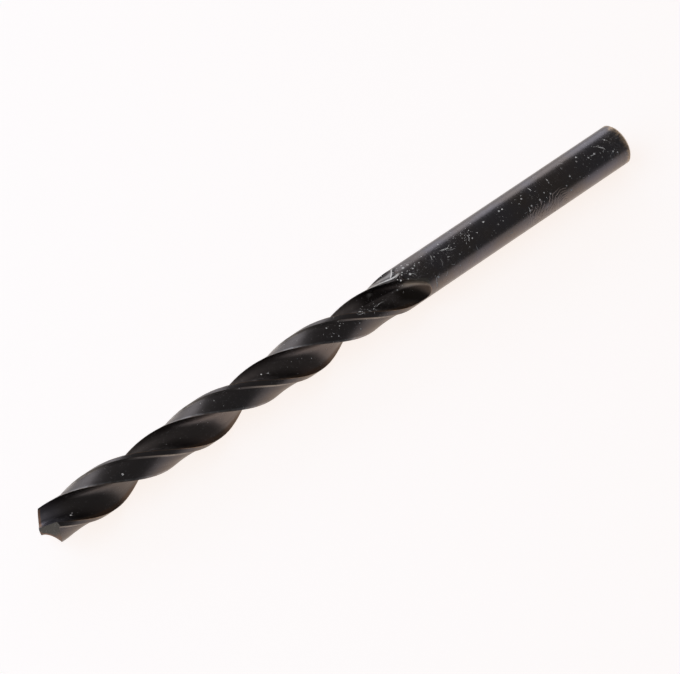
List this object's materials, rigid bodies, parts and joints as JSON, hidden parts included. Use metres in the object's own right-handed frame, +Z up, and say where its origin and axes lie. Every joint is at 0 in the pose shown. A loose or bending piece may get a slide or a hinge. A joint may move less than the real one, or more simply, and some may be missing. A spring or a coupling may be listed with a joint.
{
  "type": "twist drill bit",
  "caption": "Straight-shank metal twist drill bit with a conical ground point, spiral flutes and margins, for a chuck to grip.",
  "frame": {"origin": "centre of the flat end face of the shank", "axes": "+X along the bit's axis, out of the shank's end, so the point is at -X; +Z up as the bit lies on a table"},
  "size_m": [0.091, 0.0054, 0.0054],
  "materials": {
    "black_oxide_steel": "black oxide, semi-gloss on the ground shank, satin in the flutes"
  },
  "bodies": {
    "root": {"twist_drill": "black_oxide_steel"}
  },
  "joints": []
}
